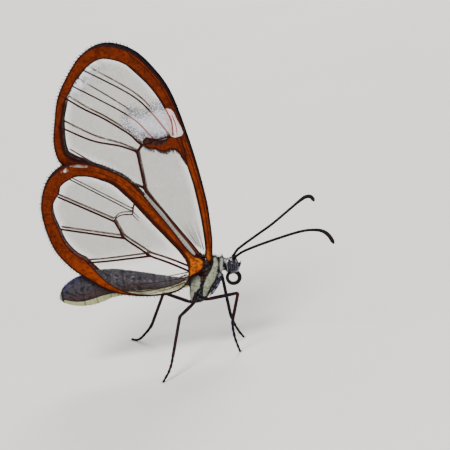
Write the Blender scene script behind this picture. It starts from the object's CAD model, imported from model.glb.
"""The looks of a glasswing butterfly: clear veined wings, hairy body, feelers and legs.

It is laid out as an add-on and run as a script. The drawing's sizes are in millimetres, x forward,
y to the butterfly's left and z up; place() turns them into the scene's metres.
"""

import math
import random

import bmesh
import bpy
import numpy as np
from bpy.props import FloatProperty, FloatVectorProperty, IntProperty, PointerProperty
from mathutils import Matrix, Vector
from mathutils.geometry import delaunay_2d_cdt


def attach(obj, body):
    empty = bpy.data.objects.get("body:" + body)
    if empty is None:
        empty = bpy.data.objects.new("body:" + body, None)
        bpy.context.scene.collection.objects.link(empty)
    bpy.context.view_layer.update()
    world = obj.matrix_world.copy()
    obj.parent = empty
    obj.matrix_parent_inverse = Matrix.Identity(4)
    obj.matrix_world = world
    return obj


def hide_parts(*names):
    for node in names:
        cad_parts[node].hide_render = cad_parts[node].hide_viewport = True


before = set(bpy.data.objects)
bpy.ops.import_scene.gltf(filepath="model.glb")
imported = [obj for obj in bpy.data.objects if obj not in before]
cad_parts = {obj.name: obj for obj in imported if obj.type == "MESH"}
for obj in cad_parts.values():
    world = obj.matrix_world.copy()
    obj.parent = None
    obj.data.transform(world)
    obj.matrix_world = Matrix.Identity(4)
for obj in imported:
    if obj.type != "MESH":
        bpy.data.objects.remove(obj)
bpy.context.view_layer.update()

bl_info = {
    "name": "Glasswing butterfly",
    "version": (1, 0, 0),
    "blender": (4, 5, 0),
    "location": "3D View > Sidebar > Butterfly",
    "description": "Builds the finished surfaces of a glasswing butterfly and its studio",
    "category": "Add Mesh",
}

MM = 0.001
DRAWING_MIDDLE = (0.40, 0.10)

# The wings' planes, as in the solids; the foot of a forewing widens past the thorax.
WING_ROOT = (1.9, 11.0)
WING_SPAN = 30.0
FORE_ROOT_Y = 0.50
TIP_SPREAD = 0.55
HIND_OUTWARD = 1.02
ROOT_FLARE = 0.19
ABDOMEN_FLARE = 0.42
FLARE_FRONT = 1.5
FLARE_LENGTH = 9.0
FLARE_TOP = 14.5
FLARE_HEIGHT = 5.0
FOOT_FLARE = 0.55
FORE_INSET = 0.12
HIND_INSET = 0.19
FOOT_TOP = 12.3
FOOT_HEIGHT = 1.2
ROOT_PLATE = (0.6, 11.2)

# Turn and shift of each wing about its root: the edges of the left ones show past the right ones.
LEFT_FORE = (math.radians(-0.66), (-0.03, -0.24))
LEFT_HIND = (math.radians(0.8), (0.0, -0.33))
RIGHT = (0.0, (0.0, 0.0))
SIDES = (("right", -1), ("left", 1))

# Width of the dark line inside the borders, and the distance that stands for far away.
LINING = 0.22
FAR = 9.0

# Outline of the right forewing as (x, z), from the front of its foot up the costa.
FOREWING = (
    (2.3, 11.0), (2.46, 11.6), (2.64, 12.6), (2.84, 14.0), (2.96, 16.6), (2.97, 18.6),
    (2.68, 22.4), (2.2, 26.2), (1.2, 31.7), (-0.2, 34.97), (-2.4, 37.85), (-5.4, 39.2),
    (-8.1, 38.5), (-10.25, 36.25), (-11.8, 33.9), (-12.6, 31.5), (-13.3, 28.7),
    (-13.15, 26.4), (-12.3, 25.5), (-10.6, 25.1), (-8.3, 23.6), (-5.2, 20.6),
    (-1.95, 15.3), (0.3, 12.3), (1.5, 11.8), (1.82, 11.12),
)
# Inner edge of its coloured border, round the clear part.
FORE_WINDOW = (
    (1.62, 11.95), (1.92, 13.3), (2.02, 14.9), (2.06, 16.3), (2.03, 17.9), (1.97, 19.7),
    (1.82, 21.3), (1.47, 23.8), (1.13, 25.8), (0.72, 28.4), (0.4, 30.2), (-0.1, 31.6),
    (-0.75, 32.95), (-1.7, 34.6), (-2.9, 36.1), (-4.3, 37.1), (-5.9, 37.6),
    (-7.35, 37.15), (-8.95, 35.95), (-10.2, 34.4), (-10.85, 33.5), (-11.28, 32.4),
    (-11.78, 31.0), (-12.08, 28.9), (-12.08, 27.5), (-11.75, 26.8), (-10.1, 25.75),
    (-7.8, 24.2), (-5.15, 21.6), (-2.05, 16.5), (-0.05, 13.25), (0.78, 12.3), (1.25, 11.8),
)
# Name: route and half widths at its two ends.
FORE_VEINS = {
    "costa": (((2.22, 11.6), (2.46, 14.2), (2.6, 18.6), (2.28, 22.4), (1.82, 26.1),
               (0.9, 31.4), (-0.55, 34.8), (-2.6, 37.6)), 0.09, 0.07),
    "radius": (((1.72, 11.5), (1.95, 13.2), (2.06, 16.2), (1.98, 19.5), (1.82, 21.6), (1.35, 24.8),
                (0.75, 27.8), (0.3, 30.4), (-1.0, 33.4), (-3.2, 36.5)), 0.11, 0.07),
    "media 1": (((0.3, 27.0), (-1.5, 30.4), (-3.5, 32.9), (-8.3, 36.75)), 0.1, 0.08),
    "media 2": (((0.3, 27.0), (-1.45, 26.85), (-2.0, 27.5), (-4.0, 30.25), (-9.9, 35.1)),
                0.09, 0.08),
    "media 3": (((-1.55, 26.85), (-3.2, 26.6), (-4.4, 28.1), (-7.0, 30.5), (-9.1, 32.1),
                 (-11.4, 34.2)), 0.12, 0.1),
    "cubitus 1": (((-3.9, 25.8), (-5.8, 26.9), (-8.8, 28.1), (-12.3, 30.5)), 0.115, 0.1),
    "cell end": (((-3.2, 26.6), (-3.55, 26.15), (-3.9, 25.8)), 0.13, 0.13),
    "cubitus": (((-3.9, 25.8), (-3.8, 21.6), (-3.65, 20.6), (-1.38, 16.3), (0.0, 13.85),
                 (0.9, 12.1)), 0.14, 0.24),
    "cubitus 2": (((-3.75, 21.2), (-7.2, 23.4), (-11.8, 27.3)), 0.09, 0.08),
    "anal": (((0.55, 11.8), (-2.05, 15.9), (-5.45, 21.15), (-8.5, 24.2), (-12.2, 26.1)),
             0.07, 0.07),
}
# The left forewing's veins that run a little higher than the right one's.
LEFT_FORE_VEINS = {
    "media 1": (((0.3, 27.0), (-1.5, 30.55), (-3.5, 33.1), (-8.15, 36.9)), 0.1, 0.08),
    "media 2": (((0.3, 27.0), (-1.45, 27.0), (-2.0, 27.75), (-4.0, 30.75), (-9.55, 35.7)),
                0.09, 0.08),
    "cubitus 1": (((-3.9, 25.8), (-5.8, 27.05), (-8.7, 28.5), (-12.15, 31.0)), 0.115, 0.1),
}
# Faint veins that cross the white break of the border.
BREAK_VEINS = {
    "first": (((0.36, 30.3), (0.74, 28.6), (0.61, 27.0)), 0.075, 0.085),
    "second": (((0.95, 29.4), (1.16, 28.2), (1.1, 27.0)), 0.05, 0.04),
}
# Dark ragged bar at the end of the cell, and a line along it that parts brown from red.
CELL_BAR = (
    (-3.0, 27.1), (-3.05, 26.44), (-2.36, 25.81), (-1.72, 25.72), (-0.89, 25.1),
    (-0.18, 25.34), (0.6, 25.17), (1.07, 24.35), (1.45, 23.45), (1.75, 24.4), (1.62, 25.6),
    (1.55, 26.75), (0.43, 27.02), (-0.43, 26.72), (-1.22, 26.78), (-2.11, 27.22), (-2.71, 27.42),
)
BAR_AXIS = ((-3.2, 26.75), (-2.4, 26.35), (-1.2, 26.0), (0.0, 26.15), (1.5, 25.6))
WHITE_PATCH = (
    (1.53, 26.83), (1.86, 27.2), (1.46, 28.8), (1.06, 30.12), (0.62, 30.4), (0.09, 30.6),
    (-0.41, 31.16), (-1.47, 30.69), (-2.67, 30.24), (-3.67, 30.92), (-4.81, 29.96),
    (-4.68, 28.93), (-3.74, 27.92), (-2.89, 27.27), (-1.18, 26.8), (0.12, 26.95),
)
# Pale break of the border beside the white patch.
BORDER_BREAK = (
    (0.4, 26.9), (1.5, 26.8), (1.86, 27.18), (1.42, 28.8), (1.08, 30.1), (0.58, 30.25),
    (0.2, 30.4), (0.1, 28.8),
)

# Pale streak between the hindwing's costa and the forewing's dark vein.
FORE_STREAK = (
    (-3.78, 20.55), (-2.17, 17.76), (-1.3, 15.93), (-0.2, 13.92), (0.62, 12.2), (0.15, 12.1),
    (-1.1, 14.0), (-2.15, 15.95), (-3.15, 17.75), (-4.4, 20.25),
)

# Outline of the right hindwing, from the front of its root along the costa.
HINDWING = (
    (1.5, 11.35), (1.15, 12.0), (0.5, 12.3), (-0.05, 13.0), (-0.68, 14.15), (-1.85, 16.55),
    (-3.0, 18.65), (-4.15, 20.85), (-5.45, 22.8), (-6.6, 23.85), (-8.9, 25.3), (-11.3, 26.1),
    (-13.6, 25.45), (-15.2, 24.0), (-16.15, 21.6), (-16.2, 18.9), (-15.6, 16.0), (-14.2, 13.6),
    (-12.6, 12.0), (-10.4, 10.15), (-7.8, 8.98), (-4.7, 8.38), (-2.3, 8.45), (-1.0, 9.2),
    (-0.5, 9.85), (0.17, 10.1), (0.89, 10.35), (1.35, 10.85),
)
# Inner edge of its border.
HIND_WINDOW = (
    (-0.62, 11.74), (-1.32, 13.3), (-2.04, 14.4), (-2.75, 15.56), (-3.46, 16.64),
    (-4.17, 17.8), (-4.87, 18.97), (-5.63, 20.24), (-6.31, 21.18), (-6.99, 22.12),
    (-7.7, 22.84), (-8.72, 23.46), (-9.75, 24.02), (-10.83, 24.29), (-11.53, 24.38),
    (-12.28, 24.15), (-13.2, 23.73), (-13.65, 23.2), (-13.75, 22.7), (-14.25, 22.2),
    (-14.8, 21.4), (-14.95, 20.7), (-14.92, 19.8), (-14.75, 18.98), (-14.58, 18.2),
    (-14.44, 17.4), (-14.2, 16.6), (-13.65, 15.55), (-12.97, 14.74), (-12.3, 14.2),
    (-11.98, 13.7), (-11.5, 12.95), (-10.83, 11.94), (-10.14, 11.07), (-9.16, 10.18),
    (-7.85, 9.36), (-6.5, 8.93), (-4.7, 8.57), (-2.4, 8.63), (-1.2, 9.25), (-0.72, 9.95),
    (-0.58, 10.7),
)
HIND_VEINS = {
    "costa": (((0.95, 11.45), (0.1, 12.2), (-1.1, 14.3), (-2.3, 16.75), (-4.55, 20.7),
               (-6.95, 23.15), (-9.2, 24.6), (-11.6, 25.25)), 0.05, 0.05),
    "media 1": (((-5.72, 18.99), (-12.26, 24.25)), 0.06, 0.065),
    "cell end": (((-8.04, 18.31), (-7.32, 18.77), (-6.47, 18.76), (-5.78, 18.66), (-5.59, 19.34),
                  (-5.36, 19.75)), 0.06, 0.07),
    "spur": (((-5.73, 18.55), (-5.24, 17.73)), 0.05, 0.03),
    "media 3": (((-8.05, 18.19), (-13.95, 22.34)), 0.12, 0.11),
    "cubitus": (((-0.55, 10.65), (-1.97, 11.62), (-3.37, 12.5), (-4.65, 13.25), (-5.6, 14.24),
                 (-7.26, 15.97), (-7.63, 17.04), (-8.05, 18.23)), 0.125, 0.12),
    "cubitus 1": (((-7.28, 15.92), (-14.4, 18.4)), 0.115, 0.11),
    "cubitus 2": (((-4.72, 13.24), (-9.96, 13.56), (-12.1, 13.8)), 0.115, 0.105),
    "anal": (((-0.87, 9.98), (-2.43, 9.93), (-4.26, 9.97), (-5.93, 10.13), (-7.32, 10.23)),
             0.05, 0.02),
    "fold 1": (((-1.1, 9.7), (-3.1, 9.3), (-5.3, 9.2), (-7.3, 9.42), (-8.7, 9.95)), 0.05, 0.04),
    "fold 2": (((-1.2, 9.35), (-3.2, 8.95), (-5.2, 8.83), (-7.0, 9.15)), 0.035, 0.03),
    "margin 1": (((-14.26, 22.36), (-15.75, 22.85)), 0.03, 0.03),
    "margin 2": (((-15.0, 20.36), (-16.15, 20.63)), 0.03, 0.03),
    "margin 3": (((-14.1, 15.97), (-15.5, 16.24)), 0.03, 0.03),
}
HIND_PALE_SPOTS = (
    ((-13.07, 25.22), (-12.43, 25.62), (-11.85, 25.66), (-12.08, 25.22), (-12.65, 25.12)),
    ((-11.83, 25.8), (-10.98, 25.8), (-9.77, 25.44), (-9.95, 25.24), (-10.76, 25.44),
     (-11.57, 25.62)),
)
# Whitish fold along the abdomen.
ANAL_FOLD = (
    (-0.8, 9.75), (-2.4, 9.25), (-4.6, 9.08), (-6.2, 9.18), (-7.9, 9.5), (-7.0, 9.05),
    (-6.0, 8.75), (-4.2, 8.5), (-2.3, 8.55), (-1.2, 9.15),
)

# Abdomen: middle of each station as (x, z), half height and half width, as in the solids.
ABDOMEN = (
    (-0.7, 8.78, 0.5, 0.5), (-1.5, 8.88, 0.6, 0.62), (-2.3, 9.0, 0.72, 0.76),
    (-3.4, 9.2, 0.88, 0.86), (-4.6, 9.43, 1.05, 0.94), (-6.1, 9.76, 1.25, 1.03),
    (-7.7, 10.06, 1.46, 1.12), (-9.2, 10.32, 1.66, 1.2), (-10.7, 10.38, 1.86, 1.27),
    (-12.0, 10.2, 1.97, 1.29), (-13.1, 10.07, 1.93, 1.25), (-14.1, 9.98, 1.74, 1.14),
    (-15.0, 9.85, 1.4, 0.95), (-15.65, 9.71, 0.98, 0.7), (-16.1, 9.62, 0.52, 0.38),
    (-16.25, 9.6, 0.24, 0.2),
)
ABDOMEN_SEGMENTS = (-2.9, -4.7, -6.5, -8.3, -10.1, -11.8, -13.3)
# Thorax and collar: middle of each level as (x, z), half length, half width and lean.
THORAX = (
    (-0.12, 6.25, 0.55, 0.28, 0), (-0.08, 6.52, 0.9, 0.44, 3), (0.0, 6.95, 1.1, 0.66, 9),
    (0.2, 7.5, 1.25, 0.86, 17), (0.58, 8.15, 1.42, 1.0, 24), (1.08, 8.92, 1.42, 1.09, 27),
    (1.6, 9.68, 1.2, 1.09, 27), (2.08, 10.34, 0.82, 0.98, 27), (2.46, 10.86, 0.52, 0.74, 27),
    (2.66, 11.22, 0.34, 0.5, 27), (2.75, 11.46, 0.18, 0.26, 27),
)
COLLAR = (
    (3.2, 9.6, 0.14, 0.34, 14), (3.25, 9.86, 0.18, 0.58, 14), (3.31, 10.26, 0.2, 0.74, 14),
    (3.42, 10.72, 0.18, 0.7, 14), (3.51, 11.06, 0.15, 0.5, 14), (3.56, 11.28, 0.1, 0.27, 14),
)
# Middle and half sizes of the head and of the left eye, then the left palp and the tongue.
HEAD = ((4.42, 0.0, 10.0), (0.78, 0.7, 0.94))
HEAD_LEAN = math.radians(10)
HEAD_SPOTS = ((4.08, 0.36, 0.16), (4.56, 0.36, 0.15), (4.86, 0.14, 0.13), (5.08, 0.28, 0.13),
              (3.82, 0.32, 0.15), (4.32, 0.2, 0.12))
EYE = ((4.66, 0.9, 10.05), (0.61, 0.47, 0.77))
EYE_STRIPE = 0.27
PALP = ((4.9, 0.34, 9.22), (5.18, 0.42, 9.44), (5.34, 0.44, 9.84), (5.7, 0.45, 10.22))
COIL_MIDDLE = (4.41, 8.46)
COIL_RADIUS = 0.77
COIL_ENDS = (118, -262)
COIL_RINGS = 90
TONGUE_ROOT = (4.3, 0.0, 9.35)
# How far the skin lies inside the solids, its grain, and the slope at which the view looks down.
SKIN_INSET = 0.025
SKIN_VOXEL = 0.075
LOOK_DOWN = 0.287
BODY_AXIS = ((-16.0, 9.7), (-10.0, 10.5), (-1.0, 8.7), (2.0, 9.0), (4.4, 10.0))

# Rounded forms inside the skin: middle, half sizes and lean, on the middle and on both sides.
MIDDLE_FORMS = (
    ((3.62, 0.0, 10.32), (0.52, 0.52, 0.72)), ((3.05, 0.0, 10.3), (0.4, 0.6, 0.8)),
    ((-0.75, 0.0, 8.75), (0.6, 0.5, 0.48)), ((5.02, 0.0, 9.85), (0.24, 0.3, 0.62), HEAD_LEAN),
)
SIDE_FORMS = (
    ((4.86, 0.3, 10.82), (0.16, 0.16, 0.12), 0.0), ((0.52, 0.58, 7.0), (0.3, 0.3, 0.52), -0.5),
    ((-0.45, 0.52, 7.15), (0.28, 0.28, 0.75), -0.5), ((2.86, 0.42, 9.05), (0.28, 0.34, 0.6), -0.6),
)

# Colours of the body's markings that the panel leaves out, in linear light.
PAINT = {
    "mauve": (0.12, 0.07, 0.09), "frost": (0.075, 0.06, 0.08), "tail": (0.25, 0.24, 0.21),
    "rust": (0.022, 0.005, 0.005), "fleck": (0.42, 0.42, 0.44), "back": (0.3, 0.31, 0.36),
    "band": (0.2, 0.21, 0.23), "collar": (0.36, 0.36, 0.34), "spot": (0.62, 0.62, 0.64),
    "chin": (0.24, 0.24, 0.25), "face": (0.07, 0.07, 0.08),
}

# Upper edge of the belly's cream stripe, as (x, z).
BELLY_LINE = (
    (-15.69, 9.3), (-15.04, 9.04), (-14.37, 8.84), (-13.4, 8.73), (-12.24, 8.86), (-11.22, 9.02),
    (-10.19, 9.1), (-6.5, 8.85), (-1.0, 8.45),
)

# Markings on the flank of the thorax, as side views.
MIDDLE_LOBE = (
    (2.44, 10.74), (2.64, 10.34), (2.89, 10.38), (2.8, 10.06), (2.64, 9.64), (2.49, 9.22),
    (2.25, 8.82), (1.92, 8.43), (1.52, 8.01), (1.28, 7.6), (0.91, 7.06), (0.61, 6.8),
    (0.56, 7.33), (0.69, 7.88), (0.84, 8.41), (1.07, 8.81), (1.45, 9.41), (1.86, 9.9),
    (2.14, 10.24),
)
SHOULDER = (
    (2.58, 11.49), (2.85, 11.5), (2.92, 11.15), (2.96, 10.75), (2.92, 10.42), (2.64, 10.36),
    (2.42, 10.63), (2.55, 11.05),
)
REAR_LOBE = (
    (0.03, 9.56), (0.43, 9.66), (0.58, 9.35), (0.41, 8.71), (0.26, 8.18), (-0.04, 8.01),
    (-0.29, 7.5), (-0.5, 7.09), (-0.93, 6.6), (-1.02, 7.06), (-0.86, 7.6), (-0.76, 8.14),
    (-0.59, 8.78), (-0.3, 9.23),
)
COLLAR_PATCH = (
    (3.26, 11.39), (3.53, 11.4), (3.69, 11.09), (3.55, 10.61), (3.45, 10.25), (3.38, 9.7),
    (3.05, 9.3), (3.08, 10.14), (3.16, 10.68), (3.29, 10.99),
)
FRONT_BAND = (
    (3.42, 10.1), (3.62, 10.0), (3.36, 9.55), (3.1, 9.18), (2.9, 8.92), (2.66, 9.06),
    (2.84, 9.4), (3.1, 9.74),
)

# Feelers, from the head to the club's end.
FEELER_RIGHT = (
    (4.88, -0.3, 10.85), (5.5, -0.62, 11.32), (6.45, -1.04, 11.8), (8.5, -2.05, 12.53),
    (11.26, -3.39, 13.37), (13.31, -4.38, 13.9), (14.63, -5.02, 14.05), (15.79, -5.59, 13.92),
    (16.55, -6.1, 13.38), (17.0, -6.6, 12.42),
)
FEELER_LEFT = (
    (4.8, 0.3, 10.9), (5.28, 0.6, 11.42), (5.9, 0.98, 11.76), (7.9, 2.18, 12.45),
    (9.91, 3.34, 13.14), (11.8, 4.52, 13.95), (13.6, 5.61, 14.75), (14.42, 6.09, 14.98),
    (15.0, 6.45, 14.76), (15.28, 6.75, 14.1),
)
# Legs: root inside the thorax, hip, knee, end of the shin, a bend in the foot and the foot.
LEGS = {
    "midleg_right": ((0.3, -0.4, 7.05), (0.86, -1.05, 6.68), (4.78, -3.2, 7.47),
                     (3.42, -3.3, 3.96), (3.38, -3.03, 2.11), (3.7, -2.68, 0.0)),
    "midleg_left": ((0.3, 0.4, 7.05), (0.86, 1.05, 6.64), (2.9, 4.35, 7.45),
                    (3.06, 3.5, 2.6), (3.45, 3.05, 1.35), (4.15, 2.62, 0.0)),
    "hindleg_right": ((-0.1, -0.5, 7.8), (-0.78, -1.02, 6.45), (-2.38, -4.9, 6.35),
                      (-3.86, -7.17, 2.54), (-4.33, -8.17, 1.4), (-5.45, -9.0, 0.0)),
    "hindleg_left": ((-0.45, 0.45, 6.8), (-1.2, 1.05, 6.04), (-4.46, 5.2, 6.5),
                     (-6.9, 7.45, 1.85), (-8.62, 8.2, 0.22), (-9.6, 9.28, 0.0)),
}
FORELEG = ((3.05, 0.88, 9.16), (2.56, 1.12, 8.42), (1.9, 1.16, 7.68), (1.32, 1.08, 7.08))
SOLE_HEIGHT = 0.12
CLAW_HEIGHT = 0.02
FOOT_PIECES = 5

# A tuft's faces over its seven points, and where those lie on the bake map.
TUFT_FACES = ((0, 1, 4, 3), (1, 2, 5, 4), (2, 0, 3, 5), (3, 4, 6), (4, 5, 6), (5, 3, 6), (2, 1, 0))
TUFT_MAP = ((0, 0), (1, 0), (0.5, 0.2), (0.1, 0.6), (0.9, 0.6), (0.5, 0.7), (0.5, 1))
TUFT_PATCH = 0.003
# Corner and size of the wings' and of the body's share of that map, in the drawing.
WING_CORNER = (-17, 8)
WING_REACH = (21, 33)
BODY_BACK = -16.5
BODY_LENGTH = 22.5
# Lengths of the shorter tufts.
SHORT_HAIR = 0.20
SCALE = 0.19
FRINGE = 0.15
COSTAL_FRINGE = 0.06

# The view: turned 3 degrees past square on, 16 degrees down and rolled, through a long lens.
VIEW_AZIMUTH = math.radians(3.0)
VIEW_ELEVATION = math.radians(16.0)
VIEW_ROLL = math.radians(10.8)
VIEW_TARGET = (4.60, 0.0, 15.01)
VIEW_WIDTH = 53.1
VIEW_DISTANCE = 420.0
SENSOR_WIDTH = 36.0

# Steps of the wings' triangles, and how near to the rim or to a vein a free point may lie.
RIM_STEP = 0.42
VEIN_LINE_STEP = 0.42
OPEN_STEP = 0.75
RIM_CLEAR = 0.07
VEIN_CLEAR = 0.72

# Shine of the surfaces, and opacity of each side of the clear membrane.
WING_SHINE = 0.06
SKIN_SHINE = 0.12
HAIR_SHINE = 0.06
CUTICLE_SHINE = 0.06
EYE_SHINE = 0.16
CLEAR_ALPHA = 0.17

# Tones of the wings in linear light, as pairs that a noise mixes, or alone.
ROOT_TONES = ((0.17, 0.026, 0.002), (0.42, 0.110, 0.004))
ROOT_SPECK = (0.10, 0.016, 0.002)
TIP_TINT = (0.58, 0.52, 1.0)
GRIT_TINT = (0.52, 0.42, 0.42)
BAR_REDS = ((0.045, 0.005, 0.001), (0.12, 0.016, 0.001))
BAR_BROWNS = ((0.014, 0.005, 0.004), (0.040, 0.014, 0.010))
BREAK_PINKS = ((0.50, 0.38, 0.38), (0.62, 0.58, 0.60))
FAR_BREAK = (0.05, 0.045, 0.05)
BREAK_VEIN = (0.20, 0.035, 0.025)
PATCH_GREY = (0.34, 0.34, 0.36)
PATCH_SHADE = (0.070, 0.070, 0.11)
PATCH_VEIN = (0.22, 0.10, 0.09)
INNER_VEIN = (0.050, 0.012, 0.009)
VEIN_CORE = (0.085, 0.024, 0.013)
SPARKLE = (0.80, 0.80, 0.74)
DUST = (0.66, 0.67, 0.76)
# Tones of the skin's shade and light, of the palps and of the eyes.
SKIN_SHADE = (0.40, 0.38, 0.40)
SKIN_LIGHT = (1.9, 1.85, 1.9)
PALP_WHITES = ((0.10, 0.10, 0.12), (0.46, 0.46, 0.50))
EYE_BAND = (0.048, 0.049, 0.074)
EYE_LOWER = (0.13, 0.13, 0.16)
EYE_FACET = (0.008, 0.008, 0.015)

# Ground, tint, roughness and spacing of the rings of each dark smooth part.
CUTICLE = {
    "feeler": ((0.003, 0.003, 0.003), (0.010, 0.004, 0.004), 0.45, 0.30),
    "mouthparts": ((0.003, 0.003, 0.004), (0.020, 0.002, 0.003), 0.36, 0.12),
    "leg": ((0.003, 0.003, 0.008), (0.020, 0.003, 0.005), 0.40, None),
    "foreleg": ((0.005, 0.005, 0.014), (0.12, 0.13, 0.20), 0.45, None),
}
CUTICLE_DUST = (0.16, 0.16, 0.26)

# Studio: name, place in metres, size, power and tint of each light.
LIGHTS = (
    ("key", (-0.10, -0.22, 0.34), 0.16, 2.6, (1.0, 0.97, 0.92)),
    ("fill", (0.30, -0.24, 0.12), 0.30, 0.9, (0.92, 0.96, 1.0)),
    ("back", (0.05, 0.30, 0.26), 0.22, 1.6, (1.0, 0.98, 0.95)),
)
SKY = (0.92, 0.95, 1.0, 1.0)
SKY_STRENGTH = 0.55
FLOOR_RADIUS = 2.0


def size_property(name, description, millimetres):
    return FloatProperty(
        name=name, description=description, default=millimetres * MM, unit="LENGTH", precision=6)


def colour_property(name, description, value):
    return FloatVectorProperty(
        name=name, description=description, default=value, size=3, min=0.0, max=1.0,
        subtype="COLOR")


class ButterflySizes(bpy.types.PropertyGroup):
    """Sizes of the fine surfaces."""

    membrane: size_property("Membrane", "Thickness of the clear part of a wing", 0.05)
    leg: size_property("Leg", "Half the thickness of a thigh", 0.210)
    feeler: size_property("Feeler", "Half the thickness of a feeler's shaft", 0.160)
    tongue: size_property("Tongue", "Half the thickness of the coiled tongue", 0.255)
    hair: size_property("Hair", "Length of the longest body hair", 0.66)
    seed: IntProperty(name="Seed", description="Changes where each hair falls", default=7, min=0)


class ButterflyColours(bpy.types.PropertyGroup):
    """Colours, in linear light."""

    border: colour_property("Border", "Outer side of the wings' borders", (0.152, 0.0215, 0.0007))
    border_edge: colour_property("Border edge", "Lines along the borders", (0.013, 0.0015, 0.001))
    inner_border: colour_property("Inner border", "Inner side of the borders", (0.006, 0.004, 0.008))
    vein: colour_property("Vein", "Veins across the clear part", (0.018, 0.0022, 0.0018))
    membrane: colour_property("Membrane", "Clear part of the wings", (0.160, 0.155, 0.130))
    patch: colour_property("Patch", "White patch before the forewing's tip", (0.60, 0.59, 0.66))
    slate: colour_property("Slate", "Upper flank of the abdomen", (0.040, 0.038, 0.046))
    maroon: colour_property("Maroon", "Lower flank of the abdomen", (0.052, 0.030, 0.031))
    cream: colour_property("Cream", "Belly stripe", (0.42, 0.42, 0.24))
    pale: colour_property("Pale", "Pale lobes of the thorax", (0.33, 0.35, 0.26))
    dark: colour_property("Dark", "Dark ground of thorax and head", (0.006, 0.005, 0.007))
    eye: colour_property("Eye", "Dark ground of the eyes", (0.003, 0.003, 0.008))
    floor: colour_property("Floor", "Studio floor", (0.62, 0.61, 0.58))


def sizes():
    return bpy.context.scene.butterfly_sizes


def tone(key):
    """A colour of the panel as three numbers."""
    return np.array(getattr(bpy.context.scene.butterfly_colours, key))


# Lines, distances and planes of the drawing.

def place(points):
    """Drawing millimetres as scene metres."""
    points = np.asarray(points, float).reshape(-1, 3)
    return (points - (*DRAWING_MIDDLE, 0.0)) * MM


def read_points(mesh, key):
    """The places or the normals of a mesh's points."""
    found = np.empty(len(mesh.vertices) * 3)
    mesh.vertices.foreach_get(key, found)
    return found.reshape(-1, 3)


def drawn(mesh):
    """Points of a mesh in the drawing's millimetres."""
    return read_points(mesh, "co") / MM + (*DRAWING_MIDDLE, 0.0)


def spline(points, step, closed=False):
    """Points about a step apart on a smooth curve through the given ones."""
    points = np.asarray(points, float)
    if closed:
        ring = np.vstack([points[-1], points, points[:2]])
    else:
        ring = np.vstack([points[0], points, points[-1]])
    t = np.linspace(0, 1, 24, endpoint=False)[:, None]
    fine = []
    for a, b, c, d in zip(ring, ring[1:], ring[2:], ring[3:]):
        fine.append(0.5 * (2 * b + (c - a) * t + (2 * a - 5 * b + 4 * c - d) * t ** 2
                           + (3 * b - a - 3 * c + d) * t ** 3))
    fine = np.vstack(fine + [points[:1] if closed else points[-1:]])
    along = lengths_along(fine)
    count = max(2, round(along[-1] / step) + 1)
    wanted = np.linspace(0, along[-1], count)
    found = np.column_stack([np.interp(wanted, along, fine[:, k]) for k in range(fine.shape[1])])
    return found[:-1] if closed else found


def lengths_along(line):
    """How far along a line each of its points lies."""
    return np.concatenate([[0], np.cumsum(np.linalg.norm(np.diff(line, axis=0), axis=1))])


def line_distance(points, line):
    """Each point's distance from a line, and how far along it the nearest place is, 0 to 1."""
    start, step = line[:-1], np.diff(line, axis=0)
    length = np.maximum((step ** 2).sum(1), 1e-12)
    t = np.clip(((points[:, None] - start) * step).sum(2) / length, 0, 1)
    away = np.linalg.norm(points[:, None] - start - step * t[..., None], axis=2)
    nearest = away.argmin(1)
    rows = np.arange(len(points))
    return away[rows, nearest], (nearest + t[rows, nearest]) / len(step)


def closed_line(loop):
    return np.vstack([loop, loop[:1]])


def inside(points, loop):
    """Which points lie inside a loop."""
    x, y = points.T
    found = np.zeros(len(points), bool)
    for (ax, ay), (bx, by) in zip(loop, np.roll(loop, -1, axis=0)):
        crosses = (ay > y) != (by > y)
        height = by - ay if by != ay else 1e-9
        found ^= crosses & (x < (bx - ax) * (y - ay) / height + ax)
    return found


def signed_distance(points, loop):
    """Distance to a closed loop, above zero inside it."""
    away, _ = line_distance(points, closed_line(loop))
    return np.where(inside(points, loop), away, -away)


def smoothstep(value):
    """None below 0, 1 above 1 and a smooth step between them."""
    value = np.clip(value, 0.0, 1.0)
    return value * value * (3 - 2 * value)


def above(value, edge, width):
    """None up to the edge and 1 from a width above it."""
    return smoothstep((value - edge) / width)


def below(value, edge, width):
    """None from the edge on and 1 up to a width below it."""
    return smoothstep((edge - value) / width)


def fore_plane(x, z):
    """Distance of a forewing's solid from the butterfly's middle."""
    away = np.hypot(x - WING_ROOT[0], z - WING_ROOT[1]) / WING_SPAN
    return FORE_ROOT_Y + TIP_SPREAD * away ** 2


def fore_surface(x, z):
    """Middle of the thin forewing: inside its solid, and wider where its foot meets the body."""
    return fore_plane(x, z) - FORE_INSET + FOOT_FLARE * below(z, FOOT_TOP, FOOT_HEIGHT)


def hind_surface(x, z):
    """Middle of the thin hindwing, which widens downwards round the thorax and the abdomen."""
    along = below(x, FLARE_FRONT, FLARE_LENGTH)
    flare = ROOT_FLARE + (ABDOMEN_FLARE - ROOT_FLARE) * along
    return fore_plane(x, z) + HIND_OUTWARD + flare * below(z, FLARE_TOP, FLARE_HEIGHT) - HIND_INSET


def swept(points, setting):
    """Points of a wing turned about its root and shifted."""
    angle, shift = setting
    turn = np.array([[math.cos(angle), -math.sin(angle)], [math.sin(angle), math.cos(angle)]])
    return (np.asarray(points, float) - WING_ROOT) @ turn.T + WING_ROOT + shift


def on_side(points, side):
    """Points drawn for the left side, as they lie on the asked one."""
    return [(x, side * y, z) for x, y, z in points]


# Objects and meshes.

def link(name, mesh, materials, slot, *nodes):
    """A finished piece that rides on the body and stands for its solids, if any."""
    for made in materials:
        mesh.materials.append(made)
    piece = bpy.data.objects.new(name, mesh)
    bpy.context.scene.collection.objects.link(piece)
    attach(piece, "root")
    if nodes:
        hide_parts(*nodes)


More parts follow.
